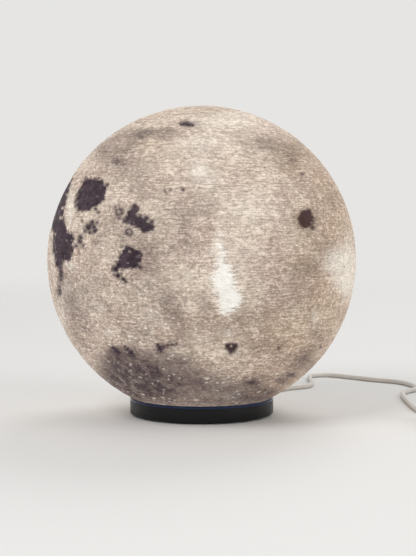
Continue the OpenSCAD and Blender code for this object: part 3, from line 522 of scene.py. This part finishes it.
def moonDirections(places):
    # unit directions on the Moon as the lamp holds it, from latitude and longitude
    turn = Euler([math.radians(a) for a in globeSettings["moonTurn"]], "XYZ").to_matrix()
    result = []
    for latitude, longitude in places:
        a, b = math.radians(latitude), math.radians(longitude)
        result.append(turn @ Vector((math.cos(a) * math.cos(b), math.cos(a) * math.sin(b), math.sin(a))))
    return result


def makeGlobe(s):
    radius = s["radius"] * mm
    inner = (s["radius"] - s["wall"]) * mm
    mouth = s["mouthRadius"] * mm
    bm = bmesh.new()
    # an outer and an inner sphere, both cut off at the mouth and joined there
    for size, (around, rows) in ((radius, s["segments"]), (inner, s["innerSegments"])):
        ball = bmesh.ops.create_uvsphere(bm, u_segments=around, v_segments=rows, radius=size)
        faces = list({f for v in ball["verts"] for f in v.link_faces})
        edges = list({e for v in ball["verts"] for e in v.link_edges})
        if size == inner:
            bmesh.ops.reverse_faces(bm, faces=faces)
        floor = -math.sqrt(size * size - mouth * mouth)
        bmesh.ops.bisect_plane(
            bm, geom=ball["verts"] + edges + faces, dist=1e-7,
            plane_co=(0, 0, floor), plane_no=(0, 0, -1), clear_outer=True,
        )
    rim = [e for e in bm.edges if e.is_boundary]
    bmesh.ops.bridge_loops(bm, edges=rim)
    bmesh.ops.translate(bm, verts=bm.verts, vec=(0, 0, s["middleHeight"] * mm))
    for cuts, reachOut, side in s["shoreCuts"]:
        bm.verts.index_update()
        unit, reach, across, down, facing = globeView(np.array([v.co for v in bm.verts]))
        sea = seaDistance(unit, across, down, facing, shoreSettings)[0]
        outside = reach > (s["radius"] - 0.5 * s["wall"]) * mm
        near = (np.abs(sea) < reachOut) & outside & (facing * side > -0.05)  # the sides overlap a little
        faces = [f for f in bm.faces if len(f.verts) == 4 and all(near[v.index] for v in f.verts)]
        edges = list({e for f in faces for e in f.edges})
        bmesh.ops.subdivide_edges(bm, edges=edges, cuts=cuts, use_grid_fill=True)
    bmesh.ops.triangulate(bm, faces=[f for f in bm.faces if len(f.verts) > 4])
    return bm


def addCraters(unit, inSea, height, craterLightAndShade, s):
    # bowls with raised lips, and the same bowls as painted light and shade: lighter lips, darker floors
    random.seed(11)
    smallest, largest = s["craterSizes"]
    for i in range(s["craters"]):
        z = random.uniform(-0.85, 1)
        turn = random.uniform(0, 2 * math.pi)
        size = smallest + (largest - smallest) * random.random() ** 4
        flat = math.sqrt(1 - z * z)
        if flat * math.sin(turn) < 0.1:  # on the side of the photograph
            size = min(size, s["largestInView"])
        middle = np.array([flat * math.cos(turn), flat * math.sin(turn), z])
        away = np.linalg.norm(unit - middle, axis=1)
        near = np.nonzero(away < 2 * size / s["radius"])[0]
        away = away[near] * s["radius"] / size
        bowl = np.where(away < 1, 1 - away ** 2, 0)
        lip = np.exp(-((away - 1.08) / 0.22) ** 2)
        form = s["lipHeight"] * lip - s["bowlDepth"] * bowl
        height[near] += form * size ** 0.7 * (1 - 0.6 * inSea[near])
        craterLightAndShade[near] += lip - 0.7 * bowl


def sculptGlobe(piece, s):
    mesh = piece.data
    points = np.zeros(len(mesh.vertices) * 3)
    mesh.vertices.foreach_get("co", points)
    points = points.reshape(-1, 3)
    unit, reach, across, down, facing = globeView(points)
    sea, ragged = seaDistance(unit, across, down, facing, shoreSettings)
    unseen = np.clip(-facing * s["edgeFade"], 0, 1)
    darkPrintAndShade = softSum(across, down, frontDarkPrintAndShade) * (1 - unseen)
    light = softSum(across, down, frontPalePrintAndGlow) * (1 - unseen)
    tint = softSum(across, down, frontTints) * (1 - unseen)
    hot = np.min([np.hypot(across - x, down - y) - r for x, y, r in hotPatch], axis=0)
    hot = hot * shoreSettings["pixelSize"] + np.clip(-facing, 0, 1) * 60  # none of it behind
    # bright pits are closer together at the lower left
    dots = np.clip((300 - across) / 200 + (down - 250) / 200, 0.25, 1) * (1 - unseen) + 0.6 * unseen

    # broad shade and light on the sides that the photograph doesn't show
    rolling = fractalField(unit, 3.1, (5, 1, 2), 0.9, 4)
    darkPrintAndShade = np.maximum(darkPrintAndShade, np.clip(rolling, 0, 1) * 0.7 * unseen)
    light = np.maximum(light, np.clip(-rolling - 0.05, 0, 1) * 0.8 * unseen)
    rays = rayLight(unit, raySettings)
    light = np.maximum(light, rays * unseen)
    # the seas there are fainter in places, and under the rays
    faint = fractalField(unit, 6.3, (2, 7, 4), 0.8, 4)
    faint = np.maximum(np.clip(0.15 + 1.3 * faint, 0, 1), rays) * unseen

    # relief goes only down from the full radius, and ends before the mouth
    rough = fractalField(unit, s["roughScale"], (0, 0, 0), 0.7, 4)
    inSea = np.clip(0.5 - sea / 1.2, 0, 1)
    height = -s["sunk"] + s["roughDepth"] * rough * (1 - 0.8 * inSea) - s["seaDepth"] * inSea
    craterLightAndShade = np.zeros_like(height)
    addCraters(unit, inSea, height, craterLightAndShade, s)
    height *= np.clip((points[:, 2] / mm - s["plainBelow"]) / s["fadeHeight"], 0, 1)
    outside = reach > (s["radius"] - 0.5 * s["wall"]) * mm
    radius = np.where(outside, (s["radius"] + np.clip(height, -s["deepest"], 0)) * mm, reach)
    middle = np.array([0, 0, s["middleHeight"] * mm])
    mesh.vertices.foreach_set("co", (middle + unit * radius[:, None]).ravel())
    layers = {
        "sea": sea, "ragged": ragged, "darkPrintAndShade": darkPrintAndShade, "light": light, "tint": tint, "hot": hot,
        "dots": dots, "craterLightAndShade": np.clip(craterLightAndShade, -1, 1), "faint": faint,
    }
    for name, values in layers.items():
        layer = mesh.attributes.new(name, "FLOAT", "POINT")
        layer.data.foreach_set("value", np.clip(values, -20, 20).astype(np.float32))
    mesh.update()


printSettings = {
    # colours as they look when the lamp is lit
    "land": ((195, 174, 160), (217, 200, 183)),
    "brown": (184, 155, 124),
    "pale": (239, 229, 215),
    "darkPrintAndShade": (82, 68, 70),
    "sea": ((43, 31, 42), (71, 57, 66)),
    "brownSea": (76, 52, 46),
    "hot": (255, 252, 244),
    "cream": (240, 229, 214),
    "paleSpot": (224, 210, 198),
    "brightSpot": (242, 233, 222),
    "darkSpot": (100, 84, 80),
    # sizes of the patterns, in metres
    "landSize": 0.026,
    "patchSize": 0.0055,
    "shoreSize": 0.0042,
    "dashSize": 0.0036,
    "lineSize": 0.0085,
    "blotchSize": 0.0021,
    "bandSize": 0.03,
    "gritSize": 0.001,
    # spots: spacing in metres, share of the cells, largest size in cells and offset
    "paleSpots": (0.0066, 0.5, 0.3, (1, 4, 2)),
    "brightSpots": (0.0033, 0.55, 0.33, (0, 0, 0)),
    "darkSpots": (0.0028, 0.45, 0.27, (3, 1, 2)),
    "shoreSwing": 4.5,  # how far the shores wander, in millimetres where they are most ragged
    "shoreEdge": (1.35, -1.15),
    "hotEdge": (2.2, -2.6),
    "brownShare": 0.6,
    "brownSeaShare": 0.85,
    "seaCover": (0.98, 0.5),  # where the seas are full and where they are faint
    "glow": 0.6,
    "reflected": 0.38,  # how bright the print is by the room's light
    "roughness": 0.62,
    "specular": 0.12,
    "layers": 320,
}


def globeFinish(s):
    finish, tree, shader = newFinish("printedMoon", linear(*s["land"][1]), s["roughness"])
    place = objectPlace(tree)

    def attribute(name):
        return addNode(tree, "ShaderNodeAttribute", attribute_name=name).outputs["Fac"]

    def times(first, second):
        return calculate(tree, "MULTIPLY", first, second)

    def weaker(value, share):
        # a brightness brought closer to 1, down to this share of its swing
        return calculate(tree, "MULTIPLY_ADD", calculate(tree, "SUBTRACT", value, 1.0), share, 1.0)

    def scaled(colour, factor):
        return addNode(tree, "ShaderNodeVectorMath", {0: colour, 3: factor}, operation="SCALE").outputs[0]

    def blend(factor, first, name):
        # towards one of the colours above
        return mixColour(tree, factor, first, linear(*s[name]))

    def mottle(size, low, high, detail=2.0, stretch=(1, 1, 1)):
        # a brightness that runs between low and high
        return ramp(tree, speckle(tree, place, size, detail, 0.6, stretch), 0.33, 0.67, low, high)

    def dotted(spacing, share, size, offset):
        # round dots in this share of the cells, with sizes up to this part of a cell
        mapping = {"Vector": place, "Location": offset, "Scale": (1, 1, 1.5)}
        flat = addNode(tree, "ShaderNodeMapping", mapping).outputs[0]
        cells = addNode(tree, "ShaderNodeTexVoronoi", {"Vector": flat, "Scale": 1 / spacing})
        pick = addNode(tree, "ShaderNodeSeparateColor", {0: cells.outputs["Color"]}).outputs[0]
        reach = ramp(tree, pick, 1 - share, 1.0, 0.0, size)
        return ramp(tree, calculate(tree, "SUBTRACT", cells.outputs["Distance"], reach), 0.06, -0.08)

    patches = speckle(tree, place, s["patchSize"], 4.0, 0.65)
    shore = calculate(tree, "SUBTRACT", speckle(tree, place, s["shoreSize"], 4.0, 0.65), 0.5)
    swing = times(attribute("ragged"), s["shoreSwing"])
    seaEdge = calculate(tree, "MULTIPLY_ADD", swing, shore, attribute("sea"))
    seaMask = ramp(tree, seaEdge, *s["shoreEdge"], smooth=True)
    dryLand = calculate(tree, "MULTIPLY_ADD", seaMask, -0.8, 1.0)

    broad = speckle(tree, place, s["landSize"], 3.0, 0.5)
    lowLand, highLand = (linear(*colour) for colour in s["land"])
    ground = mixColour(tree, ramp(tree, broad, 0.38, 0.62), lowLand, highLand)
    ground = blend(times(attribute("tint"), s["brownShare"]), ground, "brown")
    # paler print, and the painted glow round the hot patch
    ground = blend(attribute("light"), ground, "pale")
    # darker print, and painted shade along the bottom edge towards the base
    darkPrintAndShadeMask = times(attribute("darkPrintAndShade"), ramp(tree, patches, 0.36, 0.64, 0.72, 1.16))
    ground = blend(darkPrintAndShadeMask, ground, "darkPrintAndShade")

    # dashes and lines of the print, weaker where the bright spots crowd, then blotches, bands and grit
    spotShare = attribute("dots")
    dashes = speckle(tree, place, s["dashSize"], 2.0, 0.6, (1, 1, 4.2))
    lines = speckle(tree, place, s["lineSize"], 2.0, 0.55, (1, 1, 12))
    streaks = times(ramp(tree, dashes, 0.33, 0.67, 0.78, 1.22), ramp(tree, lines, 0.34, 0.66, 0.87, 1.13))
    streaks = weaker(streaks, ramp(tree, spotShare, 0.25, 1.0, 1.0, 0.6))
    blotches = mottle(s["blotchSize"], 0.77, 1.23, 2.0, (1, 1, 1.5))
    blotches = times(ramp(tree, patches, 0.35, 0.65, 0.83, 1.17), blotches)
    blotches = weaker(blotches, ramp(tree, spotShare, 0.25, 1.0, 0.8, 1.2))
    tone = times(times(streaks, blotches), mottle(s["bandSize"], 0.9, 1.1, 1.0, (1, 1, 40)))
    tone = times(tone, mottle(s["gritSize"], 0.82, 1.18, 1.0, (1, 1, 1.4)))
    # painted light and shade of the craters: lips lighter, floors darker
    tone = times(tone, ramp(tree, attribute("craterLightAndShade"), -1.0, 1.0, 0.84, 1.16))

    # seas, and the hot patch where the light shows through
    deepSea, paleSea = (linear(*colour) for colour in s["sea"])
    seaTone = mixColour(tree, ramp(tree, patches, 0.36, 0.64), deepSea, paleSea)
    seaTone = blend(times(attribute("tint"), s["brownSeaShare"]), seaTone, "brownSea")
    cover = ramp(tree, attribute("faint"), 0.0, 1.0, *s["seaCover"])
    ground = mixColour(tree, times(seaMask, cover), ground, seaTone)
    hotEdge = calculate(tree, "MULTIPLY_ADD", shore, 7.0, attribute("hot"))
    hotEdge = calculate(tree, "MULTIPLY_ADD", calculate(tree, "SUBTRACT", dashes, 0.5), -9.0, hotEdge)
    hotMask = ramp(tree, hotEdge, *s["hotEdge"], 0.0, 0.9, smooth=True)
    ground = blend(hotMask, ground, "hot")
    calm = calculate(tree, "MAXIMUM", times(hotMask, 0.8), times(seaMask, 0.4))
    calm = calculate(tree, "MAXIMUM", calm, times(attribute("light"), 0.35))
    tone = weaker(tone, calculate(tree, "SUBTRACT", 1.0, calm))
    printed = scaled(ground, tone)
    clear = ramp(tree, calculate(tree, "MAXIMUM", attribute("darkPrintAndShade"), seaMask), 0.1, 0.7, 1.0, 0.0)
    printed = blend(times(ramp(tree, tone, 1.05, 1.6, 0.0, 0.5), clear), printed, "cream")

    # spots of three kinds, fewer in the seas
    pale = times(times(dotted(*s["paleSpots"]), spotShare), times(dryLand, 0.5))
    printed = blend(pale, printed, "paleSpot")
    glint = times(dryLand, ramp(tree, attribute("darkPrintAndShade"), 0.2, 0.8, 0.85, 0.45))
    bright = times(times(dotted(*s["brightSpots"]), spotShare), glint)
    printed = blend(bright, printed, "brightSpot")
    dark = times(dotted(*s["darkSpots"]), times(dryLand, 0.5))
    printed = blend(dark, printed, "darkSpot")

    tree.links.new(scaled(printed, s["reflected"]), shader.inputs["Base Color"])
    tree.links.new(printed, shader.inputs["Emission Color"])
    shader.inputs["Emission Strength"].default_value = s["glow"]
    shader.inputs["Specular IOR Level"].default_value = s["specular"]
    layers = addNode(
        tree, "ShaderNodeTexWave", {"Vector": place, "Scale": s["layers"], "Distortion": 0.6},
        wave_type="BANDS", bands_direction="Z",
    ).outputs["Fac"]
    addBump(tree, shader, calculate(tree, "MULTIPLY_ADD", layers, 0.35, patches), 0.3, 0.0004)
    return finish


globe = newPiece("moonGlobe", makeGlobe(globeSettings), globeFinish(printSettings))
sculptGlobe(globe, globeSettings)
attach(globe, "globe")
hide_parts("moon_globe")
print("globe sculpted", len(globe.data.polygons))


# finishes of the other pieces, by the slots of the record
finishSettings = {
    "housing_black": {
        "colour": (17, 17, 18), "roughness": 0.4, "grain": 0.2, "grainSize": 0.0005, "specular": 0.22,
    },
    "base_steel": {"colour": (150, 153, 156), "roughness": 0.4, "metallic": 1.0, "patchSize": 0.004},
    "screw_steel": {"colour": (176, 178, 182), "roughness": 0.3, "metallic": 1.0, "grainSize": 0.0003},
    "foot_rubber": {"colour": (34, 34, 35), "roughness": 0.85, "grain": 0.3},
    "glide_white": {"colour": (222, 221, 216), "roughness": 0.35},
    "post_aluminium": {
        "colour": (184, 186, 189), "roughness": 0.32, "metallic": 1.0, "stretch": (1, 1, 12),
    },
    "nut_brass": {"colour": (201, 166, 92), "roughness": 0.3, "metallic": 1.0},
    "sink_aluminium": {"colour": (172, 175, 180), "roughness": 0.45, "metallic": 1.0, "grain": 0.3},
    "led_board_white": {"colour": (236, 236, 230), "roughness": 0.35, "coat": 0.3},
    "light_chip": {"colour": (246, 212, 96), "roughness": 0.3, "coat": 0.4},
    "board_green": {"colour": (34, 98, 54), "roughness": 0.35, "coat": 0.5, "patchSize": 0.003},
    "capacitor_blue": {"colour": (42, 55, 100), "roughness": 0.3, "coat": 0.4},
    "inductor_copper": {
        "colour": (142, 84, 44), "roughness": 0.35, "metallic": 0.6, "stretch": (1, 1, 10),
    },
    "chip_black": {"colour": (32, 32, 34), "roughness": 0.5},
    "terminal_green": {"colour": (52, 150, 84), "roughness": 0.45},
    "wire_red": {"colour": (170, 44, 36), "roughness": 0.4},
    "wire_black": {"colour": (28, 28, 28), "roughness": 0.4},
    "relief_white": {"colour": (208, 203, 195), "roughness": 0.6},
    # the ring's dark blue is painted reflection: it stands for bluish light along the glossy edge under
    # the globe
    "ring_blue": {
        "colour": (24, 41, 76), "roughness": 0.25, "coat": 0.12, "grain": 0.02, "specular": 0.2,
    },
    "collar_black": {"colour": (34, 34, 36), "roughness": 0.5},
    "cord_white": {"colour": (216, 211, 203), "roughness": 0.42},
    "switch_white": {
        "colour": (222, 218, 210), "roughness": 0.45, "grain": 0.25, "grainSize": 0.0005, "shift": 0.04,
    },
    "rocker_white": {"colour": (205, 200, 191), "roughness": 0.25, "coat": 0.3, "shift": 0.04},
    "contact_brass": {"colour": (204, 168, 94), "roughness": 0.3, "metallic": 1.0},
    "plug_white": {"colour": (219, 215, 207), "roughness": 0.4, "grain": 0.15, "shift": 0.04},
    "shell_steel": {"colour": (190, 193, 197), "roughness": 0.25, "metallic": 1.0, "stretch": (8, 1, 8)},
    "tongue_white": {"colour": (235, 234, 229), "roughness": 0.4},
    "contact_gold": {"colour": (222, 186, 104), "roughness": 0.25, "metallic": 1.0},
}
finishes = {slot: plainFinish(slot, s) for slot, s in finishSettings.items()}


def opalFinish():
    # the diffuser, lit a little
    finish, tree, shader = newFinish("opalDiffuser", linear(236, 228, 212), 0.45)
    cloud = speckle(tree, objectPlace(tree), 0.02, 3.0, 0.5)
    colour = mixColour(tree, ramp(tree, cloud, 0.3, 0.7), linear(232, 222, 203), linear(240, 232, 217))
    tree.links.new(colour, shader.inputs["Base Color"])
    tree.links.new(colour, shader.inputs["Emission Color"])
    shader.inputs["Emission Strength"].default_value = 0.22
    return finish


def strapFinish():
    # small loops of cloth on the coil's tie
    finish, tree, shader = newFinish("strapCloth", linear(38, 38, 41), 0.9)
    place = objectPlace(tree)
    loopSize = 0.0006
    cells = addNode(tree, "ShaderNodeTexVoronoi", {"Vector": place, "Scale": 1 / loopSize})
    loops = cells.outputs["Distance"]
    colour = mixColour(tree, loops, linear(52, 52, 56), linear(24, 24, 27))
    tree.links.new(colour, shader.inputs["Base Color"])
    shader.inputs["Sheen Weight"].default_value = 0.4
    addBump(tree, shader, loops, 0.8, 0.0003)
    return finish


finishes["diffuser_opal"] = opalFinish()
finishes["tie_black"] = strapFinish()
finishes["globe_print"] = globe.data.materials[0]
slotOf = {part["node"]: part["material_slot"] for part in frame["record"]["subparts"]}
bodyOf = {node: body for body, nodes in frame["record"]["behaviour"]["bodies"].items() for node in nodes}
for node, piece in frame["nodes"].items():
    piece.data.materials.clear()
    piece.data.materials.append(finishes[slotOf[node]])
print("finishes made", len(finishes))


softenSettings = {  # millimetres and degrees
    "mergeWithin": 0.002,
    "flatWithin": 0.3,
    "bevelFrom": 28,
    "sharpFrom": 35,
}
softEdges = {  # width of the bevel in millimetres, 0 for pieces that only get their faces joined up
    "base_housing": 0.25, "base_plate": 0.1, "rubber_feet": 0.15, "light_post": 0.2, "heat_sink": 0.0,
    "diffuser": 0.2, "strain_relief": 0.0, "turn_ring": 0.0, "globe_collar": 0.15, "post_nut": 0.15,
    "post_washer": 0.1, "led_board": 0.1, "driver_board": 0.1, "plate_screws": 0.0,
    "switch_case_bottom": 0.3, "switch_case_top": 0.3, "switch_rocker": 0.3, "plug_body": 0.5,
    "plug_shell": 0.0, "plug_tongue": 0.05, "coil_tie": 0.1, "driver_capacitors": 0.2,
    "wire_terminal": 0.1,
}


def sharpEdges(bm, degrees):
    return [e for e in bm.edges if e.is_manifold and e.calc_face_angle(0) > math.radians(degrees)]


def softenNode(node, width, s):
    # a merged copy of a CAD node's mesh, its flat faces joined up and its sharp edges rounded
    bm = bmesh.new()
    bm.from_mesh(frame["nodes"][node].data)
    bmesh.ops.remove_doubles(bm, verts=bm.verts, dist=s["mergeWithin"] * mm)
    flat = math.radians(s["flatWithin"])
    bmesh.ops.dissolve_limit(bm, angle_limit=flat, verts=bm.verts, edges=bm.edges)
    sharp = sharpEdges(bm, s["bevelFrom"])
    if width > 0 and sharp:
        bmesh.ops.bevel(
            bm, geom=sharp, offset=width * mm, offset_type="OFFSET", segments=2, profile=0.5,
            affect="EDGES", clamp_overlap=True, material=-1,
        )
        bmesh.ops.dissolve_degenerate(bm, dist=0.001 * mm, edges=bm.edges)
    for edge in bm.edges:
        edge.smooth = True
    for edge in sharpEdges(bm, s["sharpFrom"]):
        edge.smooth = False
    piece = newPiece(node + "Soft", bm, finishes[slotOf[node]])
    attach(piece, bodyOf[node])
    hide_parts(node)
    return piece


softPieces = {node: softenNode(node, width, softenSettings) for node, width in softEdges.items()}
print("edges softened", len(softPieces))


# what lies on each lead
switchPieces = [softPieces[n] for n in ("switch_case_bottom", "switch_case_top", "switch_rocker")]
switchPieces += [frame["nodes"][n] for n in ("switch_contacts", "switch_wires", "switch_screws")]
plugPieces = [softPieces[n] for n in ("plug_body", "plug_shell", "plug_tongue", "coil_tie")]
plugPieces.append(frame["nodes"]["plug_contacts"])
print("leads described")


stageSettings = {
    "floorColour": (230, 229, 227),
    "backdropColour": (230, 229, 227),
    "reach": 6.0,
    "fadeFrom": 0.35,  # metres from the lamp, where the floor begins to pass into the backdrop
    "fadeTo": 1.8,
    "worldStrength": 0.46,
}


def seenRays(tree):
    # 1 for the rays that show the backdrop: straight to the camera, by gloss or through glass
    rays = addNode(tree, "ShaderNodeLightPath").outputs
    glossy = calculate(tree, "MAXIMUM", rays["Is Glossy Ray"], rays["Is Transmission Ray"])
    return calculate(tree, "MAXIMUM", rays["Is Camera Ray"], glossy)


def addStage(s):
    finish, tree, shader = newFinish("paleFloor", linear(*s["floorColour"]), 0.75)
    away = addNode(tree, "ShaderNodeVectorMath", {0: objectPlace(tree)}, operation="LENGTH")
    fade = ramp(tree, away.outputs["Value"], s["fadeFrom"], s["fadeTo"], smooth=True)
    fade = calculate(tree, "MULTIPLY", fade, seenRays(tree))
    backdrop = addNode(tree, "ShaderNodeEmission", {"Color": linear(*s["backdropColour"])}).outputs[0]
    mix = addNode(tree, "ShaderNodeMixShader", {0: fade, 1: shader.outputs[0], 2: backdrop})
    tree.links.new(mix.outputs[0], tree.nodes["Material Output"].inputs["Surface"])
    bm = bmesh.new()
    bmesh.ops.create_grid(bm, x_segments=8, y_segments=8, size=s["reach"])
    newPiece("floor", bm, finish)


lampSettings = {
    # place, size and power of each soft lamp
    "key": ((-1.0, -1.1, 1.5), 1.1, 18.5),
    "fill": ((1.3, -0.8, 1.0), 1.2, 7.0),
    "back": ((0.5, 1.3, 1.4), 1.0, 9.0),
}


def addLamps(lamps):
    aim = Vector((0, 0, 0.08))
    for name, (place, size, power) in lamps.items():
        data = bpy.data.lights.new(name, "AREA")
        data.shape = "DISK"
        data.size = size
        data.energy = power
        lamp = bpy.data.objects.new(name, data)
        bpy.context.scene.collection.objects.link(lamp)
        lamp.location = place
        lamp.rotation_euler = (aim - Vector(place)).to_track_quat("-Z", "Y").to_euler()


def addWorld(s):
    world = bpy.data.worlds.new("studio")
    bpy.context.scene.world = world
    world.use_nodes = True
    tree = world.node_tree
    light = addNode(tree, "ShaderNodeBackground", {"Color": (1, 1, 1, 1), "Strength": s["worldStrength"]})
    seen = addNode(tree, "ShaderNodeBackground", {"Color": linear(*s["backdropColour"]), "Strength": 1.0})
    shaders = {0: seenRays(tree), 1: light.outputs[0], 2: seen.outputs[0]}
    mix = addNode(tree, "ShaderNodeMixShader", shaders)
    tree.links.new(mix.outputs[0], tree.nodes["World Output"].inputs["Surface"])


addStage(stageSettings)
addLamps(lampSettings)
addWorld(stageSettings)
bpy.context.scene.view_settings.view_transform = "Standard"
print("stage set")
